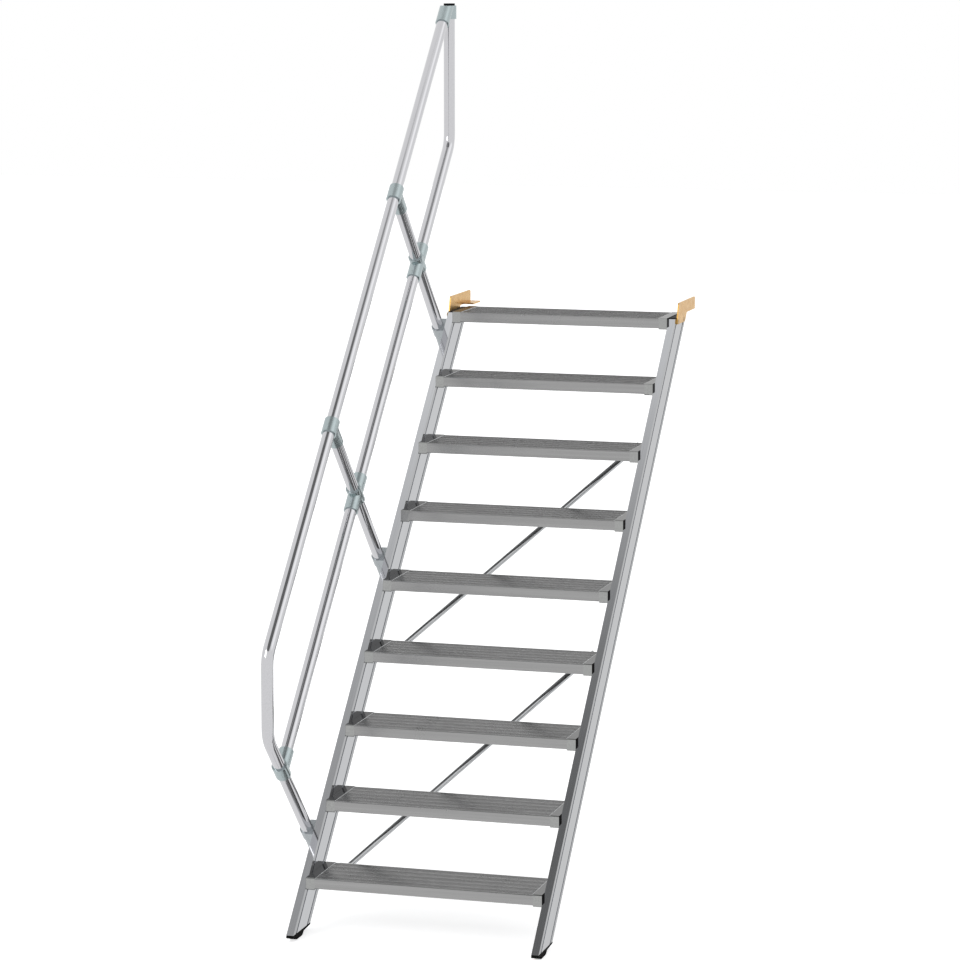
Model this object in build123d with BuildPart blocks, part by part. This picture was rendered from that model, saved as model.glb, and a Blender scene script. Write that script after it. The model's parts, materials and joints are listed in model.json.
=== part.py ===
from build123d import *
import os
from math import atan2, cos, sin

# Flight: equal rise and going give the 45 degree pitch
tread_count = 9
rise = 208.0
going = 208.0
first_rise = 181.0  # from the floor to the first tread
clear_width = 790.0  # between the stringers' inner faces

# Stringers: hollow extrusions with a groove near each edge of both sides
stringer_thickness = 24.0
stringer_depth = 120.0
stringer_setback = 32.0  # from the nosing line back to the stringer's front face, level
stringer_wall = 2.5
groove_width = 8.0
groove_depth = 2.5
groove_inset = 22.0  # from the stringer's edge to the middle of the groove

# Feet and end caps that close the stringers
foot_thickness = 22.0
foot_pad_length = 100.0  # flat on the floor
heel_length = 50.0  # rises gently behind the pad
heel_lift = 5.0
foot_overhang = 3.0  # behind the stringer
foot_round = 4.0
plug_length = 40.0
plug_clearance = 0.4
cap_thickness = 4.0
cap_bevel = 1.5

# Treads: ribbed extrusions, open below, held between cast end pieces
tread_depth = 216.0
tread_skirt = 35.0
tread_skin = 4.0
tread_wall = 3.0
tread_cells = 3
nose_bevel = 3.0
band_count = 5
band_groove_width = 5.0
band_groove_depth = 1.5
end_width = 30.0
end_lift = 1.5  # the end piece's top stands over the tread's
end_drop = 4.0  # and its skirt hangs below the tread's
end_wall = 4.0

# Handrail: tubes in one plane beside the left stringer, solid inside as fittings close every end
tube_radius = 20.0
rail_gap = 27.0  # from the stringer's outer face to the tubes' plane
rail_height = 838.0  # all heights here are square to the flight, from its datum
knee_height = 471.0
first_post = 351.0  # along the flight, from its datum
second_post = 1448.0
third_post = 2460.0
rail_drop_y = -211.0  # the rail's upright stretch, ahead of the first nosing
knee_rise_y = 1801.0  # the knee rail's upright stretch, behind the first nosing
bend_radius = 90.0

# Fittings on the tubes
fitting_radius = 25.5
branch_radius = 24.5
fit_clearance = 0.25
sleeve_length = 56.0  # on the tube that runs through a tee
cross_sleeve = 68.0  # on the posts that a cross joins
rail_branch = 82.0  # from the rail's axis to the mouth on a post
knee_branch = 73.0  # from a post's axis to the mouth on the knee rail
butt_gap = 2.0  # solid web between two tube ends inside a fitting
head_drop = 26.0  # the top fitting's flat top, below the crossing of the tubes' axes
head_sleeve = 48.0
head_reach = 126.0  # its mouth, down the rail from the same crossing
head_grip = 50.0
rail_plug_height = 7.0

# Post sockets on the stringer's outer face
socket_radius = 24.5
socket_inset = 7.0  # mouth behind the stringer's front face
socket_grip = 50.0
collar_length = 42.0
barrel_radius = 21.5  # below the collar
barrel_inset = 2.0  # its end inside the stringer's rear edge
pad_width = 56.0  # along the stringer's front edge
pad_tail = 44.0  # and near its rear edge
pad_thickness = 19.0

# Braces behind the treads
brace_radius = 8.0
brace_span = 3  # treads from foot to head
brace_inset = 65.0  # from the stringer's inner face
brace_stand = 34.0  # tube's axis behind the treads' rear skirts
brace_pin_radius = 7.0
brace_plate_width = 40.0
brace_plate_thickness = 4.0
brace_plate_height = 30.0

# Top brackets: bent plates on the stringers' outer faces
bracket_thickness = 5.0
seat_lift = 6.0  # seat over the top tread
arm_height = 44.0
arm_reach = 99.0  # behind the top tread
stem_front = 66.0  # behind the top nosing
stem_width = 120.0
stem_drop = 30.0  # below the seat
stem_taper = 26.0
bracket_round = 8.0
flange_width = 42.0
flange_length = 90.0
hole_radius = 5.5
hole_spacing = 50.0

pitch = atan2(rise, going)
along_y = cos(pitch)
along_z = sin(pitch)
inner_x = clear_width / 2
outer_x = inner_x + stringer_thickness
top_level = tread_count * rise

# The origin is on the underside of the left bracket's flange
arm_end = (tread_count - 1) * going + tread_depth + arm_reach
mid_x = outer_x + bracket_thickness - flange_width / 2
nose_y = flange_length / 2 - arm_end
datum_z = -(top_level + seat_lift)  # one full rise below the first tread
floor_level = rise - first_rise
floor_z = datum_z + floor_level

# Heights square to the flight
nosing_height = rise * along_y
stringer_front = nosing_height - stringer_setback * along_z
stringer_rear = stringer_front - stringer_depth
stringer_middle = (stringer_front + stringer_rear) / 2
rail_x = mid_x - outer_x - rail_gap

os.makedirs("parts", exist_ok=True)


def flight_point(x, along, height):
    # A point from its place along the flight and its height square to it
    y = nose_y + along * along_y - height * along_z
    z = datum_z + along * along_z + height * along_y
    return Vector(x, y, z)


def flight_plane(x):
    # Local x runs up the flight, local y away from it, local z to the right
    return Plane(origin=(x, nose_y, datum_z), x_dir=(0, along_y, along_z), z_dir=(1, 0, 0))


def along_plane(x, along, height):
    # A plane square to the flight's run
    return Plane(origin=flight_point(x, along, height), x_dir=(1, 0, 0), z_dir=(0, along_y, along_z))


def post_plane(x, along, height):
    # A plane square to the posts, facing away from the flight
    return Plane(origin=flight_point(x, along, height), x_dir=(1, 0, 0), z_dir=(0, -along_z, along_y))


def front_at(level):
    # Y of the stringers' front face at a height over the flight's datum
    return nose_y + (level * along_y - stringer_front) / along_z


def rod(plane, radius, length, mode=Mode.ADD):
    # A round bar or, subtracted, a bore
    with BuildSketch(plane) as disc:
        Circle(radius)
    extrude(disc.sketch, amount=length, mode=mode)


level_depth = stringer_depth / along_z
run_length = (top_level + stringer_depth * 2) / along_z

# Stringers
foot_level = floor_level + foot_thickness
cap_level = top_level - cap_thickness
for side, sign in (("left", -1), ("right", 1)):
    stringer_x = mid_x + sign * (inner_x + stringer_thickness / 2)
    section = along_plane(stringer_x, -stringer_depth, stringer_middle)
    core_width = stringer_thickness - 2 * (groove_depth + stringer_wall)
    core_depth = stringer_depth - 2 * stringer_wall

    with BuildPart() as stringer:
        with BuildSketch(section):
            Rectangle(stringer_thickness, stringer_depth)
            with GridLocations(stringer_thickness, stringer_depth - 2 * groove_inset, 2, 2):
                Rectangle(2 * groove_depth, groove_width, mode=Mode.SUBTRACT)
            Rectangle(core_width, core_depth, mode=Mode.SUBTRACT)
        extrude(amount=run_length)
        split(bisect_by=Plane.XY.offset(datum_z + foot_level), keep=Keep.TOP)
        split(bisect_by=Plane.XY.offset(datum_z + cap_level), keep=Keep.BOTTOM)
    stringer.part.label = f"{side}_stringer"
    export_step(stringer.part, f"parts/{side}_stringer.step")

    # Foot: a plug in the hollow, a pad under the front and a heel that rises to a lip behind
    cut_z = datum_z + foot_level
    cut_y = front_at(foot_level)
    toe_y = front_at(floor_level)
    pad_end = toe_y + foot_pad_length
    with BuildPart() as foot:
        with BuildSketch(section):
            Rectangle(core_width - 2 * plug_clearance, core_depth - 2 * plug_clearance)
        extrude(amount=run_length)
        split(bisect_by=Plane.XY.offset(cut_z), keep=Keep.TOP)
        split(bisect_by=Plane.XY.offset(cut_z + plug_length), keep=Keep.BOTTOM)
        with BuildSketch(Plane.YZ.offset(stringer_x - stringer_thickness / 2)):
            with BuildLine():
                Polyline(
                    (cut_y, cut_z),
                    (toe_y, floor_z),
                    (pad_end, floor_z),
                    (pad_end + heel_length, floor_z + heel_lift),
                    (cut_y + level_depth + foot_overhang, cut_z),
                    close=True,
                )
            make_face()
            fillet(vertices().group_by(Axis.Y)[0], radius=foot_round)
        extrude(amount=stringer_thickness)
    foot.part.label = f"{side}_foot"
    export_step(foot.part, f"parts/{side}_foot.step")

    # End cap on the level cut at the top
    cap_front = front_at(cap_level)
    with BuildPart() as end_cap:
        with BuildSketch(Plane.XY.offset(datum_z + cap_level)):
            with Locations((stringer_x, cap_front + level_depth / 2)):
                Rectangle(stringer_thickness, level_depth)
        extrude(amount=cap_thickness)
        chamfer(end_cap.faces().sort_by(Axis.Z)[-1].edges(), length=cap_bevel)
    end_cap.part.label = f"{side}_end_cap"
    export_step(end_cap.part, f"parts/{side}_end_cap.step")

# Treads
tread_length = clear_width - 2 * end_width
cell_width = (tread_depth - (tread_cells + 1) * tread_wall) / tread_cells
band_pitch = tread_depth / band_count
for number in range(1, tread_count + 1):
    tread_y = nose_y + (number - 1) * going
    tread_z = datum_z + number * rise
    tread_plane = Plane(
        origin=(mid_x - tread_length / 2, tread_y, tread_z), x_dir=(0, 1, 0), z_dir=(1, 0, 0)
    )
    with BuildPart() as tread:
        with BuildSketch(tread_plane):
            Rectangle(tread_depth, tread_skirt, align=(Align.MIN, Align.MAX))
            chamfer(vertices().group_by(Axis.Z)[-1], length=nose_bevel)
            for cell in range(tread_cells):
                with Locations((tread_wall + cell * (cell_width + tread_wall), -tread_skin)):
                    Rectangle(cell_width, tread_skirt, align=(Align.MIN, Align.MAX), mode=Mode.SUBTRACT)
            for band in range(1, band_count):
                with Locations((band * band_pitch, 0)):
                    Rectangle(
                        band_groove_width,
                        band_groove_depth,
                        align=(Align.CENTER, Align.MAX),
                        mode=Mode.SUBTRACT,
                    )
        extrude(amount=tread_length)
    tread.part.label = f"tread_{number}"
    export_step(tread.part, f"parts/tread_{number}.step")

# End pieces that carry the treads: a plate on the stringer, a top and two skirts
end_height = tread_skirt + end_lift + end_drop
for side, sign in (("left", -1), ("right", 1)):
    with BuildPart() as tread_ends:
        for number in range(1, tread_count + 1):
            end_x = mid_x + sign * (inner_x - end_width / 2)
            end_top = datum_z + number * rise + end_lift
            end_y = nose_y + (number - 1) * going + tread_depth / 2
            end_plane = Plane(origin=(end_x, end_y, end_top), x_dir=(0, 1, 0), z_dir=(1, 0, 0))
            with BuildSketch(end_plane.offset(-end_width / 2)):
                Rectangle(tread_depth, end_height, align=(Align.CENTER, Align.MAX))
                chamfer(vertices().group_by(Axis.Z)[-1], length=nose_bevel)
            extrude(amount=end_width)
            pocket = end_width - end_wall
            with Locations((end_x - sign * end_wall / 2, end_y, end_top - tread_skin - end_lift)):
                Box(
                    pocket,
                    tread_depth - 2 * end_wall,
                    end_height,
                    align=(Align.CENTER, Align.CENTER, Align.MAX),
                    mode=Mode.SUBTRACT,
                )
    tread_ends.part.label = f"{side}_tread_ends"
    export_step(tread_ends.part, f"parts/{side}_tread_ends.step")

# Top rail: down the flight, upright at the foot, then in line with the first post
drop_y = nose_y + rail_drop_y
drop_top = flight_plane(rail_x).from_local_coords((0, rail_height))
rail_turn = Vector(rail_x, drop_y, drop_top.Z + (drop_y - drop_top.Y) * along_z / along_y)
post_start = flight_point(rail_x, first_post, 0)
post_turn = Vector(rail_x, drop_y, post_start.Z - (drop_y - post_start.Y) * along_y / along_z)
rail_foot = flight_point(rail_x, first_post, knee_height + butt_gap / 2)

# Knee rail: from the first post up the flight, then upright to the top fitting
rise_y = nose_y + knee_rise_y
knee_start = flight_point(rail_x, first_post + tube_radius + fit_clearance + butt_gap, knee_height)
knee_datum = flight_point(rail_x, 0, knee_height)
knee_turn = Vector(rail_x, rise_y, knee_datum.Z + (rise_y - knee_datum.Y) * along_z / along_y)
rail_datum = flight_point(rail_x, 0, rail_height)
rail_meet = Vector(rail_x, rise_y, rail_datum.Z + (rise_y - rail_datum.Y) * along_z / along_y)
knee_top = rail_meet - Vector(0, 0, head_drop)
rail_run = Vector(0, along_y, along_z)
rail_head = rail_meet - rail_run * (head_reach - head_grip)

with BuildPart() as top_rail:
    with BuildLine() as top_rail_path:
        FilletPolyline(rail_head, rail_turn, post_turn, rail_foot, radius=bend_radius)
    with BuildSketch(Plane(origin=rail_head, z_dir=top_rail_path.line % 0)):
        Circle(tube_radius)
    sweep(path=top_rail_path.line)
top_rail.part.label = "top_rail"
export_step(top_rail.part, "parts/top_rail.step")

with BuildPart() as knee_rail:
    with BuildLine() as knee_rail_path:
        FilletPolyline(knee_start, knee_turn, knee_top, radius=bend_radius)
    with BuildSketch(Plane(origin=knee_start, z_dir=knee_rail_path.line % 0)):
        Circle(tube_radius)
    sweep(path=knee_rail_path.line)
knee_rail.part.label = "knee_rail"
export_step(knee_rail.part, "parts/knee_rail.step")

with BuildPart() as rail_plug:
    rod(Plane(origin=knee_top), tube_radius, rail_plug_height)
rail_plug.part.label = "rail_plug"
export_step(rail_plug.part, "parts/rail_plug.step")

# Posts: straight tubes from their sockets to the fittings above
post_foot = stringer_front - socket_inset - socket_grip
cross_stop = tube_radius + fit_clearance + butt_gap
post_tubes = {
    "post_1": (first_post, post_foot, knee_height - butt_gap / 2),
    "lower_post_2": (second_post, post_foot, knee_height - cross_stop),
    "upper_post_2": (second_post, knee_height + cross_stop, rail_height - cross_stop),
    "lower_post_3": (third_post, post_foot, knee_height - cross_stop),
    "upper_post_3": (third_post, knee_height + cross_stop, rail_height - cross_stop),
}
for name, (along, low, high) in post_tubes.items():
    with BuildPart() as post:
        rod(post_plane(rail_x, along, low), tube_radius, high - low)
    post.part.label = name
    export_step(post.part, f"parts/{name}.step")

# Fittings: sleeves round the tubes, with a web between tube ends that meet inside
bore_radius = tube_radius + fit_clearance
bore_run = 2 * knee_branch
with BuildPart() as rail_tees:
    for along in (second_post, third_post):
        sleeve = along_plane(rail_x, along - sleeve_length / 2, rail_height)
        branch = post_plane(rail_x, along, rail_height)
        rod(sleeve, fitting_radius, sleeve_length)
        rod(branch, branch_radius, -rail_branch)
        rod(sleeve.offset(-sleeve_length / 2), bore_radius, bore_run, Mode.SUBTRACT)
        rod(branch.offset(-cross_stop), bore_radius, -rail_branch, Mode.SUBTRACT)
    # The lowest one joins the rail's foot, the first post and the knee rail
    sleeve = post_plane(rail_x, first_post, knee_height - sleeve_length / 2)
    branch = along_plane(rail_x, first_post, knee_height)
    rod(sleeve, fitting_radius, sleeve_length)
    rod(branch, branch_radius, knee_branch)
    rod(sleeve.offset(-sleeve_length / 2), bore_radius, bore_run, Mode.SUBTRACT)
    rod(branch.offset(cross_stop), bore_radius, knee_branch, Mode.SUBTRACT)
rail_tees.part.label = "rail_tees"
export_step(rail_tees.part, "parts/rail_tees.step")

with BuildPart() as rail_crosses:
    for along in (second_post, third_post):
        arms = along_plane(rail_x, along - knee_branch, knee_height)
        sleeve = post_plane(rail_x, along, knee_height)
        rod(arms, branch_radius, 2 * knee_branch)
        rod(sleeve.offset(-cross_sleeve / 2), fitting_radius, cross_sleeve)
        rod(arms.offset(-knee_branch), bore_radius, 2 * bore_run, Mode.SUBTRACT)
        rod(sleeve.offset(-cross_stop), bore_radius, -cross_sleeve, Mode.SUBTRACT)
        rod(sleeve.offset(cross_stop), bore_radius, cross_sleeve, Mode.SUBTRACT)
rail_crosses.part.label = "rail_crosses"
export_step(rail_crosses.part, "parts/rail_crosses.step")

# Top fitting: a hood over the rail's head and the knee rail's upright end, flat on top
head_plane = Plane(origin=rail_meet, x_dir=(1, 0, 0), z_dir=(0, -along_y, -along_z))
with BuildPart() as top_fitting:
    rod(Plane(origin=rail_meet), fitting_radius, -(head_drop + head_sleeve))
    rod(head_plane, branch_radius, head_reach)
    split(bisect_by=Plane(origin=knee_top), keep=Keep.BOTTOM)
    rod(Plane(origin=rail_meet), bore_radius, -bore_run, Mode.SUBTRACT)
    rod(head_plane.offset(head_reach - head_grip), bore_radius, bore_run, Mode.SUBTRACT)
top_fitting.part.label = "top_fitting"
export_step(top_fitting.part, "parts/top_fitting.step")

# Post sockets: a collar and a barrel as deep as the stringer, on a pad against its outer face
socket_mouth = stringer_front - socket_inset
barrel_end = stringer_rear + barrel_inset
with BuildPart() as post_sockets:
    for along in (first_post, second_post, third_post):
        rod(post_plane(rail_x, along, socket_mouth), socket_radius, -collar_length)
        rod(post_plane(rail_x, along, barrel_end), barrel_radius, socket_mouth - barrel_end - collar_length)
        with BuildSketch(flight_plane(mid_x - outer_x)):
            with BuildLine():
                Polyline(
                    (along - pad_width / 2, stringer_front),
                    (along + pad_width / 2, stringer_front),
                    (along + pad_tail / 2, barrel_end),
                    (along - pad_tail / 2, barrel_end),
                    close=True,
                )
            make_face()
        extrude(amount=-pad_thickness)
        rod(post_plane(rail_x, along, post_foot), bore_radius, bore_run, Mode.SUBTRACT)
post_sockets.part.label = "post_sockets"
export_step(post_sockets.part, "parts/post_sockets.step")

# Braces: tubes on stand-off pins, with a plate at each end on the treads' rear skirts
for name, low_tread in (("lower", 1), ("upper", 1 + brace_span)):
    seats = []
    for number, sign in ((low_tread, -1), (low_tread + brace_span, 1)):
        seat_y = nose_y + (number - 1) * going + tread_depth
        seat_z = datum_z + number * rise - tread_skirt / 2
        seats.append(Vector(mid_x + sign * (inner_x - brace_inset), seat_y, seat_z))
    stand = Vector(0, brace_stand, 0)
    run = seats[1] - seats[0]
    with BuildPart() as brace:
        start = seats[0] + stand - run.normalized() * brace_radius
        rod(Plane(origin=start, z_dir=run), brace_radius, run.length + 2 * brace_radius)
        for seat in seats:
            rod(Plane(origin=seat, z_dir=(0, 1, 0)), brace_pin_radius, brace_stand)
            with Locations(seat):
                Box(
                    brace_plate_width,
                    brace_plate_thickness,
                    brace_plate_height,
                    align=(Align.CENTER, Align.MIN, Align.CENTER),
                )
    brace.part.label = f"{name}_brace"
    export_step(brace.part, f"parts/{name}_brace.step")

# Top brackets: a stem bolted to the stringer, an arm back over the landing and a seat flange
arm_back = nose_y + arm_end
stem_y = nose_y + (tread_count - 1) * going + stem_front
for side, sign in (("left", -1), ("right", 1)):
    plate_x = mid_x + sign * outer_x
    with BuildPart() as bracket:
        with BuildSketch(Plane.YZ.offset(plate_x)):
            with BuildLine():
                Polyline(
                    (stem_y, arm_height),
                    (arm_back, arm_height),
                    (arm_back, 0),
                    (stem_y + stem_width, 0),
                    (stem_y + stem_width - stem_taper, -stem_drop),
                    (stem_y - stem_taper, -stem_drop),
                    close=True,
                )
            make_face()
            fillet(vertices().group_by(Axis.Z)[0], radius=bracket_round)
        extrude(amount=sign * bracket_thickness)
        flange_x = plate_x + sign * (bracket_thickness - flange_width / 2)
        with Locations((flange_x, arm_back - flange_length / 2, bracket_thickness / 2)):
            Box(flange_width, flange_length, bracket_thickness)
        with BuildSketch(Plane.XY.offset(-bracket_thickness)):
            with Locations((flange_x, arm_back - flange_length / 2)):
                with GridLocations(0, hole_spacing, 1, 2):
                    Circle(hole_radius)
        extrude(amount=3 * bracket_thickness, mode=Mode.SUBTRACT)
    bracket.part.label = f"{side}_top_bracket"
    export_step(bracket.part, f"parts/{side}_top_bracket.step")
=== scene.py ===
import json
from math import cos, radians, sin

import bmesh
import bpy
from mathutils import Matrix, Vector


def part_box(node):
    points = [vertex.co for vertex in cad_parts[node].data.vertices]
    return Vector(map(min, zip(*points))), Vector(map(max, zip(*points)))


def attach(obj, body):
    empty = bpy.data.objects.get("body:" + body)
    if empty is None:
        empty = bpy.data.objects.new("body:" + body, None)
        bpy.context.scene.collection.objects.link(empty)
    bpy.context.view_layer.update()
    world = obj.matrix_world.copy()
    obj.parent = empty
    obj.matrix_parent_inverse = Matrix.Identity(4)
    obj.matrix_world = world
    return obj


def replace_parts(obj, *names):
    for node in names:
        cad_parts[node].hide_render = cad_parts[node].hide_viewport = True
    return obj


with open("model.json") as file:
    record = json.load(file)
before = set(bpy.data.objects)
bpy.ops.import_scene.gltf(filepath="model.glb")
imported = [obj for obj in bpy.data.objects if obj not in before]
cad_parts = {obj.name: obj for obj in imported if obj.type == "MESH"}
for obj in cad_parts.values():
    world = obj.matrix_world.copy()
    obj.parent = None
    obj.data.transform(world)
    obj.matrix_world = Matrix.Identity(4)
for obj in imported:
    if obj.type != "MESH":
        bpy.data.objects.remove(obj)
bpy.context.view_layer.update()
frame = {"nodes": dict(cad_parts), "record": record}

scene = bpy.context.scene
scene.view_settings.view_transform = "Standard"
print("frame loaded:", len(frame["nodes"]), "nodes")

# The flight, with its place read from the frame
flight = {"treads": 9, "rise": 0.208, "going": 0.208, "pitch": radians(45)}
tread = {"depth": 0.216, "bands": 5}
bandPitch = tread["depth"] / tread["bands"]
treadLow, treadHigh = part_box("tread_1")
midX = (treadLow.x + treadHigh.x) / 2
noseY = treadLow.y
datumZ = treadHigh.z - flight["rise"]
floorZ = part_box("left_foot")[0].z
standDir = Vector((0, -sin(flight["pitch"]), cos(flight["pitch"])))
stringerLow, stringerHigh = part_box("left_stringer")
stringerMiddle = ((stringerLow + stringerHigh) / 2).dot(standDir)


def stairPoint(x, y, z):
    # from the middle of the flight, one rise below the first nosing
    return Vector((midX + x, noseY + y, datumZ + z))


# Finishes

noTurn = (0, 0, 0)
flightTurn = (flight["pitch"], 0, 0)
grainRules = {"streakDetail": 4.0, "cloudDetail": 3.0, "rough": 0.6, "range": (0.3, 0.7),
              "bumpDistance": 0.0004}


def startMaterial(name):
    mat = bpy.data.materials.new(name)
    mat.use_nodes = True
    nodes, links = mat.node_tree.nodes, mat.node_tree.links
    return mat, nodes, links, nodes["Principled BSDF"]


def objectCoords(nodes):
    return nodes.new("ShaderNodeTexCoord").outputs["Object"]


def surfaceNormal(nodes):
    return nodes.new("ShaderNodeNewGeometry").outputs["Normal"]


def splitVector(nodes, links, vector):
    split = nodes.new("ShaderNodeSeparateXYZ")
    links.new(vector, split.inputs["Vector"])
    return split.outputs


def grain(nodes, links, scale, detail, turn=noTurn):
    # noise on object coordinates, stretched and turned to follow the piece
    mapping = nodes.new("ShaderNodeMapping")
    mapping.vector_type = "TEXTURE"
    mapping.inputs["Rotation"].default_value = turn
    mapping.inputs["Scale"].default_value = [1.0 / s for s in scale]
    noise = nodes.new("ShaderNodeTexNoise")
    noise.inputs["Scale"].default_value = 1.0
    noise.inputs["Detail"].default_value = detail
    noise.inputs["Roughness"].default_value = grainRules["rough"]
    links.new(objectCoords(nodes), mapping.inputs["Vector"])
    links.new(mapping.outputs["Vector"], noise.inputs["Vector"])
    return noise.outputs["Fac"]


def spread(nodes, links, value, low, high, source=grainRules["range"]):
    ranged = nodes.new("ShaderNodeMapRange")
    ranged.inputs["From Min"].default_value = source[0]
    ranged.inputs["From Max"].default_value = source[1]
    ranged.inputs["To Min"].default_value = low
    ranged.inputs["To Max"].default_value = high
    links.new(value, ranged.inputs["Value"])
    return ranged.outputs["Result"]


def mixTones(nodes, links, factor, first, second, blend="MIX"):
    # each tone is a colour or another node's output
    mix = nodes.new("ShaderNodeMix")
    mix.data_type = "RGBA"
    mix.blend_type = blend
    links.new(factor, mix.inputs["Factor"])
    for key, tone in (("A", first), ("B", second)):
        if isinstance(tone, bpy.types.NodeSocket):
            links.new(tone, mix.inputs[key])
        else:
            mix.inputs[key].default_value = (*tone, 1)
    return mix.outputs["Result"]


def mathNode(nodes, links, operation, *values):
    made = nodes.new("ShaderNodeMath")
    made.operation = operation
    for socket, value in zip(made.inputs, values):
        if isinstance(value, bpy.types.NodeSocket):
            links.new(value, socket)
        else:
            socket.default_value = value
    return made.outputs[0]


def startFinish(name, look):
    # what all finishes share; also gives the streaks as a tone from 0 to 1
    mat, nodes, links, shader = startMaterial(name)
    streaks = grain(nodes, links, look["streak"], grainRules["streakDetail"], look.get("turn", noTurn))
    clouds = grain(nodes, links, (look["cloud"],) * 3, grainRules["cloudDetail"])
    links.new(spread(nodes, links, clouds, *look["rough"]), shader.inputs["Roughness"])
    shader.inputs["Metallic"].default_value = look.get("metal", 1.0)
    shader.inputs["Specular IOR Level"].default_value = look.get("sheen", 0.5)
    bump = nodes.new("ShaderNodeBump")
    bump.inputs["Strength"].default_value = look["bump"]
    bump.inputs["Distance"].default_value = grainRules["bumpDistance"]
    links.new(streaks, bump.inputs["Height"])
    links.new(bump.outputs["Normal"], shader.inputs["Normal"])
    return mat, nodes, links, shader, spread(nodes, links, streaks, 0, 1)


def plainFinish(name, look):
    mat, nodes, links, shader, streakTone = startFinish(name, look)
    links.new(mixTones(nodes, links, streakTone, look["dark"], look["light"]), shader.inputs["Base Color"])
    return mat


railLook = {"dark": (0.565, 0.565, 0.585), "light": (0.62, 0.62, 0.64), "rough": (0.07, 0.13),
            "streak": (300, 6, 300), "turn": flightTurn, "cloud": 12, "bump": 0.03}
braceLook = {"dark": (0.46, 0.47, 0.48), "light": (0.54, 0.55, 0.56), "rough": (0.10, 0.18),
             "streak": (8, 200, 200), "cloud": 14, "bump": 0.04}
fittingLook = {"dark": (0.36, 0.42, 0.43), "light": (0.44, 0.50, 0.51), "rough": (0.20, 0.30),
               "streak": (900, 900, 900), "cloud": 30, "bump": 0.10}
socketLook = {"dark": (0.33, 0.36, 0.375), "light": (0.43, 0.455, 0.47), "rough": (0.22, 0.34),
              "streak": (800, 800, 800), "cloud": 26, "bump": 0.10}
zincLook = {"dark": (0.54, 0.30, 0.075), "light": (0.75, 0.46, 0.15), "rough": (0.22, 0.36),
            "streak": (60, 60, 60), "cloud": 40, "bump": 0.08}
plasticLook = {"dark": (0.006, 0.006, 0.007), "light": (0.016, 0.016, 0.017), "rough": (0.45, 0.62),
               "streak": (1200, 1200, 1200), "cloud": 60, "bump": 0.30, "metal": 0.0, "sheen": 0.06}
rubberLook = {"dark": (0.004, 0.004, 0.004), "light": (0.012, 0.012, 0.012), "rough": (0.62, 0.80),
              "streak": (600, 600, 600), "cloud": 50, "bump": 0.40, "metal": 0.0, "sheen": 0.02}
boltLook = {"dark": (0.27, 0.18, 0.07), "light": (0.45, 0.32, 0.14), "rough": (0.30, 0.45),
            "streak": (500, 500, 500), "cloud": 90, "bump": 0.15}
# the ribs take the painted shade of the tread tops
ribLook = {"dark": (0.138, 0.138, 0.138), "light": (0.163, 0.163, 0.163), "rough": (0.28, 0.36),
           "streak": (2, 90, 90), "cloud": 18, "bump": 0.01}
# the lips' bright tone is a painted highlight along the tread ends
lipLook = {"dark": (0.50, 0.51, 0.52), "light": (0.66, 0.67, 0.68), "rough": (0.15, 0.25),
           "streak": (300, 6, 300), "cloud": 30, "bump": 0.04}

railAlu = plainFinish("railAlu", railLook)
braceAlu = plainFinish("braceAlu", braceLook)
fittingCast = plainFinish("fittingCast", fittingLook)
socketCast = plainFinish("socketCast", socketLook)
yellowZinc = plainFinish("yellowZinc", zincLook)
blackPlastic = plainFinish("blackPlastic", plasticLook)
footRubber = plainFinish("footRubber", rubberLook)
boltZinc = plainFinish("boltZinc", boltLook)
highlightLip = plainFinish("highlightLip", lipLook)
shadedRib = plainFinish("shadedRib", ribLook)

# Stringers: painted shade makes the side faces darker than the front, most of all on the strips outside
# the grooves, and the outer faces darker again
stringerLook = {"dark": (0.535, 0.545, 0.565), "light": (0.60, 0.61, 0.63), "rough": (0.04, 0.08),
                "streak": (420, 3, 420), "turn": flightTurn, "cloud": 9, "bump": 0.05,
                "sideShade": 0.81, "stripShade": 0.58, "outerShade": 0.84,
                "depth": 0.120, "strip": 0.018, "stripSoft": 0.002,
                "sideFacing": (0.8, 0.9), "outerReach": (0.30, 0.34)}


def stringerFinish(name, look):
    mat, nodes, links, shader, streakTone = startFinish(name, look)
    tone = mixTones(nodes, links, streakTone, look["dark"], look["light"])
    coords = objectCoords(nodes)
    normalX = splitVector(nodes, links, surfaceNormal(nodes))["X"]
    onSide = spread(nodes, links, mathNode(nodes, links, "ABSOLUTE", normalX), 0, 1, look["sideFacing"])
    # the strips are told by their distance from the stringer's middle line
    height = nodes.new("ShaderNodeVectorMath")
    height.operation = "DOT_PRODUCT"
    height.inputs[1].default_value = standDir
    links.new(coords, height.inputs[0])
    fromLine = mathNode(nodes, links, "SUBTRACT", height.outputs["Value"], stringerMiddle)
    rim = look["depth"] / 2 - look["strip"]
    away = mathNode(nodes, links, "ABSOLUTE", fromLine)
    onRim = spread(nodes, links, away, 0, 1, (rim - look["stripSoft"], rim))
    strips = mathNode(nodes, links, "MULTIPLY", onSide, onRim)
    # the outer faces look away from the middle of the flight
    fromMiddle = mathNode(nodes, links, "SUBTRACT", splitVector(nodes, links, coords)["X"], midX)
    outward = mathNode(nodes, links, "MULTIPLY", fromMiddle, normalX)
    outside = spread(nodes, links, outward, 0, 1, look["outerReach"])
    # the painted shade is multiplied in: on the side faces, deeper on their strips, and on the outer faces
    for factor, level in ((onSide, look["sideShade"]), (strips, look["stripShade"] / look["sideShade"]),
                          (outside, look["outerShade"])):
        tone = mixTones(nodes, links, factor, tone, (level,) * 3, "MULTIPLY")
    links.new(tone, shader.inputs["Base Color"])
    return mat


stringerAlu = stringerFinish("stringerAlu", stringerLook)
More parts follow.
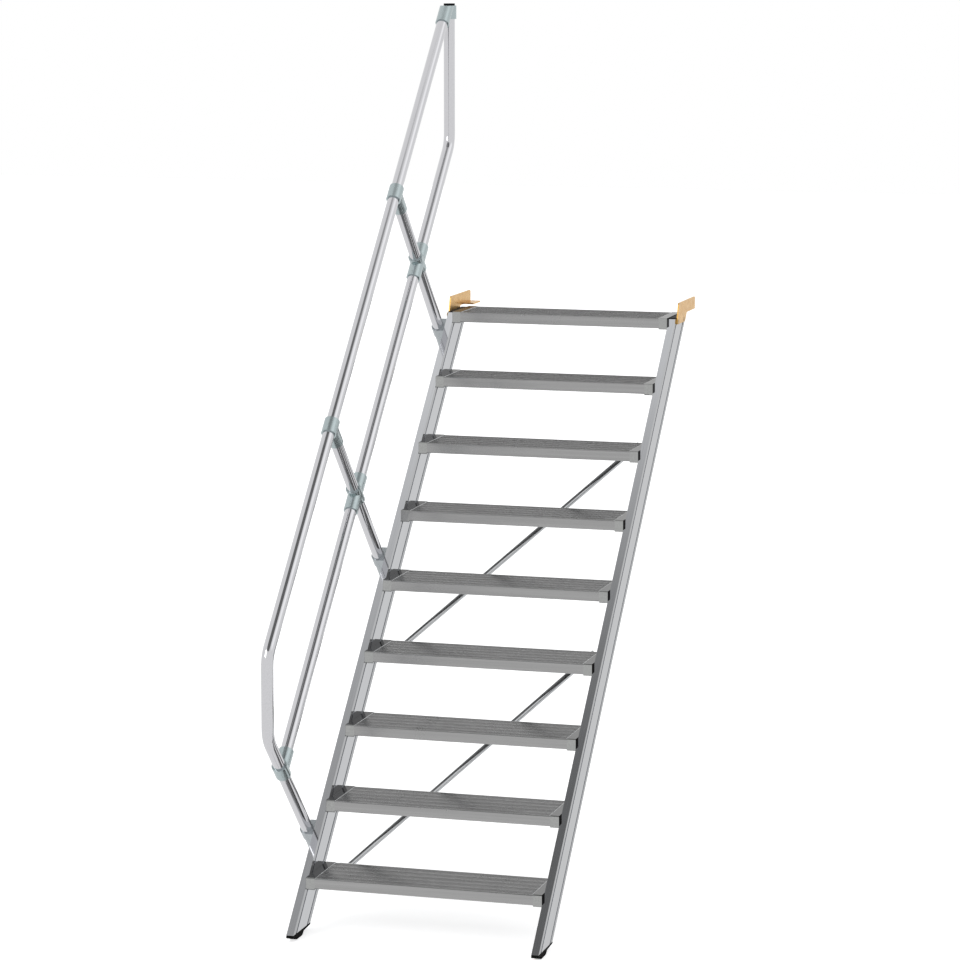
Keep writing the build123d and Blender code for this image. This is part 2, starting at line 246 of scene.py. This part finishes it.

# Treads: on top, ribbed bands carry a painted shade that makes them much darker than the front, with
# smooth light lands between them
treadLook = {"topDark": (0.14, 0.14, 0.14), "topLight": (0.165, 0.165, 0.165),
             "frontDark": (0.315, 0.315, 0.315), "frontLight": (0.36, 0.36, 0.36),
             "topFacing": (0.75, 0.95), "land": (0.36, 0.36, 0.36), "landHalf": 0.0062, "landSoft": 0.0012,
             "rough": (0.20, 0.28), "streak": (1.5, 90, 90), "cloud": 14, "bump": 0.015}
# End pieces: painted shade darkens the end faces, and a painted reflection makes the left ones shine less
# at low angles than the right ones
endLook = {"topDark": (0.33, 0.33, 0.33), "topLight": (0.37, 0.37, 0.37),
           "frontDark": (0.32, 0.325, 0.32), "frontLight": (0.38, 0.385, 0.38), "topFacing": (0.75, 0.95),
           "sideShade": (0.05, 0.05, 0.05), "sideAt": 0.3945, "sideSoft": 0.0003,
           "paintedReflectionLeft": (0.32, 0.32, 0.32), "paintedReflectionRight": (0.52, 0.52, 0.52),
           "rough": (0.10, 0.16), "streak": (200, 200, 200), "cloud": 24, "bump": 0.02}


def treadFinish(name, look):
    mat, nodes, links, shader, streakTone = startFinish(name, look)
    top = mixTones(nodes, links, streakTone, look["topDark"], look["topLight"])
    front = mixTones(nodes, links, streakTone, look["frontDark"], look["frontLight"])
    place = splitVector(nodes, links, objectCoords(nodes))
    if "land" in look:
        # going and rise are equal, so Y less Z is the same on every tread
        level = mathNode(nodes, links, "SUBTRACT", place["Y"], place["Z"])
        fromNose = mathNode(nodes, links, "ADD", level, treadHigh.z - noseY)
        toLand = mathNode(nodes, links, "PINGPONG", fromNose, bandPitch / 2)
        landEdge = (look["landHalf"] - look["landSoft"], look["landHalf"] + look["landSoft"])
        top = mixTones(nodes, links, spread(nodes, links, toLand, 1, 0, landEdge), top, look["land"])
    upward = splitVector(nodes, links, surfaceNormal(nodes))["Z"]
    # tops and fronts are mixed by facing; on the treads the darker top tone is a painted shade
    base = mixTones(nodes, links, spread(nodes, links, upward, 0, 1, look["topFacing"]), front, top)
    if "sideAt" in look:
        reach = look["sideAt"]
        fromMiddle = mathNode(nodes, links, "SUBTRACT", place["X"], midX)
        away = mathNode(nodes, links, "ABSOLUTE", fromMiddle)
        # painted shade on the end faces, and on a thin strip of the tops at their ends
        endShade = spread(nodes, links, away, 0, 1, (reach, reach + look["sideSoft"]))
        base = mixTones(nodes, links, endShade, base, look["sideShade"])
        # painted reflection: the left end pieces get a dimmer tint at low angles than the right ones of
        # the same material
        rightward = spread(nodes, links, fromMiddle, 0, 1, (-reach, reach))
        paintedReflectionTone = mixTones(nodes, links, rightward, look["paintedReflectionLeft"], look["paintedReflectionRight"])
        links.new(paintedReflectionTone, shader.inputs["Specular Tint"])
    links.new(base, shader.inputs["Base Color"])
    return mat


treadAlu = treadFinish("treadAlu", treadLook)
treadEndAlu = treadFinish("treadEndAlu", endLook)
print("finishes made:", len(bpy.data.materials))

nodeFinish = {"black_plastic": blackPlastic, "foot_rubber": footRubber, "stringer_alu": stringerAlu,
              "tread_alu": treadAlu, "tread_end_alu": treadEndAlu, "rail_alu": railAlu,
              "brace_alu": braceAlu, "fitting_cast": fittingCast, "socket_cast": socketCast,
              "yellow_zinc": yellowZinc}
slotOf = {part["node"]: part["material_slot"] for part in frame["record"]["subparts"]}
for nodeName, slotName in slotOf.items():
    shown = frame["nodes"][nodeName]
    shown.data.materials.clear()
    shown.data.materials.append(nodeFinish[slotName])


# Pieces


def addPiece(name, mesh, material):
    piece = bpy.data.objects.new(name, mesh)
    scene.collection.objects.link(piece)
    mesh.materials.clear()
    mesh.materials.append(material)
    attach(piece, "root")
    return piece


# Round pieces: the same shapes with smooth sides, the braces thicker as in the photo
roundPieces = {
    "crease": radians(32), "weld": 0.00002, "grow": {"lower_brace": 0.0025, "upper_brace": 0.0025},
    "names": {
        "top_rail": "topRailTube", "knee_rail": "kneeRailTube", "post_1": "firstPostTube",
        "lower_post_2": "secondPostLower", "upper_post_2": "secondPostUpper",
        "lower_post_3": "thirdPostLower", "upper_post_3": "thirdPostUpper",
        "rail_tees": "railTeeCastings", "rail_crosses": "railCrossCastings",
        "top_fitting": "topHoodCasting", "post_sockets": "postSocketCastings",
        "lower_brace": "lowerBraceTube", "upper_brace": "upperBraceTube", "rail_plug": "railPlugCap"}}


def smoothCopy(nodeName, pieceName):
    mesh = frame["nodes"][nodeName].data.copy()
    mesh.name = pieceName
    # the stored normals would hide the smoothing
    for stored in ("custom_normal", "sharp_edge"):
        if stored in mesh.attributes:
            mesh.attributes.remove(mesh.attributes[stored])
    work = bmesh.new()
    work.from_mesh(mesh)
    bmesh.ops.remove_doubles(work, verts=work.verts, dist=roundPieces["weld"])
    work.normal_update()
    for vert in work.verts:
        vert.co += vert.normal * roundPieces["grow"].get(nodeName, 0)
    for face in work.faces:
        face.smooth = True
    work.to_mesh(mesh)
    work.free()
    mesh.set_sharp_from_angle(angle=roundPieces["crease"])
    slotName = slotOf[nodeName]
    piece = addPiece(pieceName, mesh, nodeFinish[slotName])
    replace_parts(piece, nodeName)


for nodeName, pieceName in roundPieces["names"].items():
    smoothCopy(nodeName, pieceName)
print("round pieces smoothed:", len(roundPieces["names"]))

# Feet: a thin sole under the level cut with a rounded heel that stands on the floor
foot = {"round": 0.0012, "roundSteps": 2, "padThickness": 0.022, "profile": (
    (0.0163, 0.0), (0.0128, -0.0050), (0.0153, -0.0095), (0.0373, -0.0110),
    (0.0413, -0.0115), (0.0463, -0.0180), (0.0513, -0.0210), (0.0573, -0.0220),
    (0.1023, -0.0220), (0.1093, -0.0200), (0.1153, -0.0155), (0.1193, -0.0120),
    (0.1273, -0.0105), (0.1843, -0.0070), (0.1890, -0.0035), (0.1890, 0.0))}


def addFoot(nodeName, pieceName):
    low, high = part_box(nodeName)
    cutZ = low.z + foot["padThickness"]
    work = bmesh.new()
    ring = [work.verts.new((low.x, low.y + y, cutZ + z)) for y, z in foot["profile"]]
    sideFace = work.faces.new(ring)
    pushed = bmesh.ops.extrude_face_region(work, geom=[sideFace])
    moved = [item for item in pushed["geom"] if isinstance(item, bmesh.types.BMVert)]
    bmesh.ops.translate(work, verts=moved, vec=(high.x - low.x, 0, 0))
    bmesh.ops.recalc_face_normals(work, faces=work.faces)
    rims = [edge for edge in work.edges if edge.verts[0].co.x == edge.verts[1].co.x]
    bmesh.ops.bevel(work, geom=rims, offset=foot["round"], segments=foot["roundSteps"], affect="EDGES",
                    clamp_overlap=True)
    mesh = bpy.data.meshes.new(pieceName)
    work.to_mesh(mesh)
    work.free()
    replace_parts(addPiece(pieceName, mesh, footRubber), nodeName)


addFoot("left_foot", "leftFootSole")
addFoot("right_foot", "rightFootSole")
print("feet shaped")

# What repeats is grown by Geometry Nodes


class Tree:
    # a node tree with named inputs
    def __init__(self, name):
        self.tree = bpy.data.node_groups.new(name, "GeometryNodeTree")
        self.tree.interface.new_socket(name="Points", in_out="INPUT", socket_type="NodeSocketGeometry")
        self.tree.interface.new_socket(name="Geometry", in_out="OUTPUT", socket_type="NodeSocketGeometry")
        self.start = self.tree.nodes.new("NodeGroupInput")
        self.keys = {}

    def value(self, name, kind="NodeSocketFloat"):
        socket = self.tree.interface.new_socket(name=name, in_out="INPUT", socket_type=kind)
        self.keys[name] = socket.identifier
        return self.start.outputs[name]

    def node(self, kind, **wires):
        made = self.tree.nodes.new(kind)
        for name, wire in wires.items():
            socket = made.inputs[name.replace("_", " ")]
            if isinstance(wire, bpy.types.NodeSocket):
                self.tree.links.new(wire, socket)
            else:
                socket.default_value = wire
        return made

    def close(self, geometry):
        real = self.node("GeometryNodeRealizeInstances", Geometry=geometry)
        paint = self.node("GeometryNodeSetMaterial", Geometry=real.outputs[0])
        self.tree.links.new(self.value("Finish", "NodeSocketMaterial"), paint.inputs["Material"])
        end = self.tree.nodes.new("NodeGroupOutput")
        self.tree.links.new(paint.outputs[0], end.inputs[0])


def growPiece(name, tree, values, material, points=((0, 0, 0),), axes=()):
    seed = bpy.data.meshes.new(name + "Points")
    seed.from_pydata(points, [], [])
    facing = seed.attributes.new("axis", "FLOAT_VECTOR", "POINT")
    for index, axis in enumerate(axes):
        facing.data[index].vector = axis
    holder = bpy.data.objects.new(name + "Seed", seed)
    scene.collection.objects.link(holder)
    grown = holder.modifiers.new("grow", "NODES")
    grown.node_group = tree.tree
    for key, value in {**values, "Finish": material}.items():
        grown[tree.keys[key]] = value
    seen = bpy.context.evaluated_depsgraph_get()
    mesh = bpy.data.meshes.new_from_object(holder.evaluated_get(seen))
    holder.modifiers.remove(grown)
    bpy.data.objects.remove(holder)
    mesh.name = name
    addPiece(name, mesh, material)
    print(name, len(mesh.polygons), "faces")


# Straight bars in rows of rows


def barTree():
    t = Tree("barRowTree")
    line = t.node("GeometryNodeCurvePrimitiveLine", Start=t.value("Bar Start", "NodeSocketVector"),
                  End=t.value("Bar End", "NodeSocketVector"))
    ring = t.node("GeometryNodeCurvePrimitiveCircle", Resolution=t.value("Bar Sides", "NodeSocketInt"),
                  Radius=t.value("Bar Radius"))
    bar = t.node("GeometryNodeCurveToMesh", Curve=line.outputs[0], Profile_Curve=ring.outputs[0],
                 Fill_Caps=True)
    made = bar.outputs[0]
    for level in ("Inner", "Middle", "Outer"):
        offset = t.value(level + " Step", "NodeSocketVector")
        count = t.value(level + " Count", "NodeSocketInt")
        row = t.node("GeometryNodeMeshLine", Count=count, Offset=offset)
        made = t.node("GeometryNodeInstanceOnPoints", Points=row.outputs[0], Instance=made).outputs[0]
    t.close(made)
    return t


barRows = barTree()
treadStep = {"Outer Count": flight["treads"], "Outer Step": (0, flight["going"], flight["rise"])}

# Fine ribs on the bands of every tread, in the bands' dark tone with its painted shade
ribs = {"radius": 0.0010, "sides": 6, "stand": 0.0005, "perBand": 5, "pitch": 0.0068}
ribY = noseY + bandPitch / 2 - ribs["pitch"] * (ribs["perBand"] - 1) / 2
ribZ = treadHigh.z + ribs["stand"] - ribs["radius"]
growPiece("treadRibs", barRows, {
    "Bar Start": (treadLow.x, ribY, ribZ), "Bar End": (treadHigh.x, ribY, ribZ),
    "Bar Radius": ribs["radius"], "Bar Sides": ribs["sides"],
    "Inner Count": ribs["perBand"], "Inner Step": (0, ribs["pitch"], 0),
    "Middle Count": tread["bands"], "Middle Step": (0, bandPitch, 0), **treadStep}, shadedRib)

# Bright beads along both ends of every tread, where the end pieces meet it: a painted highlight on that
# edge
lips = {"radius": 0.0011, "sides": 8, "lift": 0.0002, "inside": 0.0012, "inset": 0.003}
lipX, lipZ = treadLow.x + lips["inside"], treadHigh.z + lips["lift"]
growPiece("treadLips", barRows, {
    "Bar Start": (lipX, treadLow.y + lips["inset"], lipZ),
    "Bar End": (lipX, treadHigh.y - lips["inset"], lipZ),
    "Bar Radius": lips["radius"], "Bar Sides": lips["sides"],
    "Inner Count": 2, "Inner Step": (treadHigh.x - treadLow.x - 2 * lips["inside"], 0, 0),
    "Middle Count": 1, "Middle Step": (0, 0, 0), **treadStep}, highlightLip)

# Hexagon bolts with washers
bolts = {"washerRadius": 0.0105, "washerThickness": 0.0018, "washerSides": 20,
         "headRadius": 0.0086, "headHeight": 0.0062, "headSides": 6}


def boltTree():
    t = Tree("boltTree")
    thick = t.value("Washer Thickness")
    washer = t.node("GeometryNodeMeshCylinder", Vertices=bolts["washerSides"],
                    Radius=t.value("Washer Radius"), Depth=thick)
    high = t.value("Head Height")
    head = t.node("GeometryNodeMeshCylinder", Vertices=bolts["headSides"],
                  Radius=t.value("Head Radius"), Depth=high)
    # a cylinder grows both ways from its middle, so the head is lifted by half
    half = t.node("ShaderNodeMath", Value=high)
    half.operation = "MULTIPLY"
    half.inputs[1].default_value = 0.5
    rise = t.node("ShaderNodeCombineXYZ", Z=half.outputs[0])
    lift = t.node("GeometryNodeTransform", Geometry=head.outputs["Mesh"], Translation=rise.outputs[0])
    joined = t.node("GeometryNodeJoinGeometry")
    t.tree.links.new(washer.outputs["Mesh"], joined.inputs[0])
    t.tree.links.new(lift.outputs[0], joined.inputs[0])
    axis = t.node("GeometryNodeInputNamedAttribute", Name="axis")
    axis.data_type = "FLOAT_VECTOR"
    turn = t.node("FunctionNodeAlignRotationToVector", Vector=axis.outputs[0])
    turn.axis = "Z"
    spot = t.node("GeometryNodeInstanceOnPoints", Points=t.start.outputs["Points"],
                  Instance=joined.outputs[0], Rotation=turn.outputs[0])
    t.close(spot.outputs[0])
    return t


boltKit = boltTree()
boltSizes = {"Washer Radius": bolts["washerRadius"], "Washer Thickness": bolts["washerThickness"],
             "Head Radius": bolts["headRadius"], "Head Height": bolts["headHeight"]}

# Two bolts through each top bracket; the right heads are nearly flush to stay within the CAD's box
bracketBolts = {"level": 1.8565, "places": (1.718, 1.806), "proud": 0.0004}
boltPoints, boltAxes = [], []
for side, sign in (("left", -1), ("right", 1)):
    low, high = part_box(side + "_top_bracket")
    face = low.x if sign < 0 else high.x - bolts["headHeight"] + bracketBolts["proud"]
    for place in bracketBolts["places"]:
        boltPoints.append((face, noseY + place, datumZ + bracketBolts["level"]))
        boltAxes.append((sign, 0, 0))
growPiece("bracketBoltHeads", boltKit, boltSizes, boltZinc, boltPoints, boltAxes)

# Studio

studio = {"fillTone": (0.98, 0.99, 1.0), "fill": 0.75, "seenTone": (1, 1, 1), "seen": 1.0}


def lightPathSwitch(nodes, links):
    # what the camera sees, also by reflection and through clear things
    path = nodes.new("ShaderNodeLightPath").outputs
    seen = mathNode(nodes, links, "MAXIMUM", path["Is Camera Ray"], path["Is Glossy Ray"])
    return mathNode(nodes, links, "MAXIMUM", seen, path["Is Transmission Ray"])


def setWorld():
    world = bpy.data.worlds.new("paleStudio")
    world.use_nodes = True
    scene.world = world
    nodes, links = world.node_tree.nodes, world.node_tree.links
    fill = nodes["Background"]
    seen = nodes.new("ShaderNodeBackground")
    for shade, tone, strength in ((fill, studio["fillTone"], studio["fill"]),
                                  (seen, studio["seenTone"], studio["seen"])):
        shade.inputs["Color"].default_value = (*tone, 1)
        shade.inputs["Strength"].default_value = strength
    mix = nodes.new("ShaderNodeMixShader")
    links.new(lightPathSwitch(nodes, links), mix.inputs[0])
    links.new(fill.outputs[0], mix.inputs[1])
    links.new(seen.outputs[0], mix.inputs[2])
    links.new(mix.outputs[0], nodes["World Output"].inputs["Surface"])


def panel(name, corners, material):
    mesh = bpy.data.meshes.new(name)
    mesh.from_pydata(corners, [], [(0, 1, 2, 3)])
    mesh.materials.append(material)
    made = bpy.data.objects.new(name, mesh)
    scene.collection.objects.link(made)
    return made


floorLook = {"span": 60.0, "tone": (0.86, 0.86, 0.86), "rough": 0.9, "sheen": 0.1, "glow": 0.62}


def paleFloor(look):
    mat, nodes, links, shader = startMaterial("paleFloor")
    shader.inputs["Base Color"].default_value = (*look["tone"], 1)
    shader.inputs["Roughness"].default_value = look["rough"]
    shader.inputs["Specular IOR Level"].default_value = look["sheen"]
    glow = nodes.new("ShaderNodeEmission")
    level = mathNode(nodes, links, "MULTIPLY", lightPathSwitch(nodes, links), look["glow"])
    links.new(level, glow.inputs["Strength"])
    both = nodes.new("ShaderNodeAddShader")
    links.new(shader.outputs[0], both.inputs[0])
    links.new(glow.outputs[0], both.inputs[1])
    links.new(both.outputs[0], nodes["Material Output"].inputs["Surface"])
    half = look["span"] / 2
    corners = [(half * x, half * y, floorZ) for x, y in ((-1, -1), (1, -1), (1, 1), (-1, 1))]
    # reflections see the plain white studio below as well as above
    panel("floor", corners, mat).visible_glossy = False


def softFlag(name, look):
    # a large far card that only shows in reflections, with a soft rounded edge
    mat, nodes, links, shader = startMaterial(name)
    nodes.remove(shader)
    place = splitVector(nodes, links, nodes.new("ShaderNodeTexCoord").outputs["UV"])
    inner, reach = look["edge"]
    powers = []
    for axis in ("X", "Y"):
        centred = mathNode(nodes, links, "MULTIPLY_ADD", place[axis], 2 * reach, -reach)
        away = mathNode(nodes, links, "ABSOLUTE", centred)
        powers.append(mathNode(nodes, links, "POWER", away, look["square"]))
    radius = mathNode(nodes, links, "POWER", mathNode(nodes, links, "ADD", *powers), 1 / look["square"])
    fade = nodes.new("ShaderNodeMapRange")
    fade.interpolation_type = "SMOOTHSTEP"
    fade.inputs["From Min"].default_value = reach
    fade.inputs["From Max"].default_value = inner
    links.new(radius, fade.inputs["Value"])
    # the card's tone in the middle, the white of the studio at its edge
    tone = mathNode(nodes, links, "MULTIPLY_ADD", fade.outputs["Result"], look["tone"] - 1.0, 1.0)
    glow = nodes.new("ShaderNodeEmission")
    links.new(tone, glow.inputs["Strength"])
    links.new(glow.outputs[0], nodes["Material Output"].inputs["Surface"])
    mat.cycles.emission_sampling = "NONE"
    centre = stairPoint(*look["centre"])
    across, along = Vector(look["across"]) * reach, Vector(look["along"]) * reach
    card = panel(name, [centre - across - along, centre + across - along, centre + across + along,
                        centre - across + along], mat)
    layer = card.data.uv_layers.new(name="UVMap")
    for spot, uv in zip(layer.data, ((0, 0), (1, 0), (1, 1), (0, 1))):
        spot.uv = uv
    card.visible_camera = False
    card.visible_diffuse = False
    card.visible_shadow = False
    card.visible_transmission = False


def keyLight(name, look):
    lamp = bpy.data.lights.new(name, "AREA")
    lamp.shape = "SQUARE"
    lamp.size = look["span"]
    lamp.energy = look["watts"]
    made = bpy.data.objects.new(name, lamp)
    scene.collection.objects.link(made)
    made.location = stairPoint(*look["place"])
    aim = stairPoint(*look["target"]) - stairPoint(*look["place"])
    made.rotation_euler = aim.to_track_quat("-Z", "Y").to_euler()


setWorld()
paleFloor(floorLook)
softFlag("overheadFlag", {"centre": (24, -120, 241), "across": (111.5, 0, 0), "along": (0, 87.8, 0),
                          "tone": 0.18, "edge": (0.85, 1.2), "square": 4})
softFlag("rightPanel", {"centre": (45, 9, 40), "across": (-14, 0, 16), "along": (0, 22, 0),
                        "tone": 1.35, "edge": (0.6, 1.1), "square": 2})
keyLight("keyLight", {"place": (-5, -7, 7), "target": (0, 0.9, 1), "span": 4.0, "watts": 140})

# The camera, fitted to the photo
shot = {"place": (3.3896, -11.0336, 3.2912), "turn": 16.168, "drop": 8.703, "lens": 139.18, "sensor": 36,
        "clipEnd": 200}
view = bpy.data.cameras.new("photoView")
view.lens = shot["lens"]
view.sensor_width = shot["sensor"]
view.clip_end = shot["clipEnd"]
camera = bpy.data.objects.new("photoView", view)
scene.collection.objects.link(camera)
camera.location = stairPoint(*shot["place"])
camera.rotation_euler = (radians(90 - shot["drop"]), 0, radians(shot["turn"]))
scene.camera = camera
print("studio set")
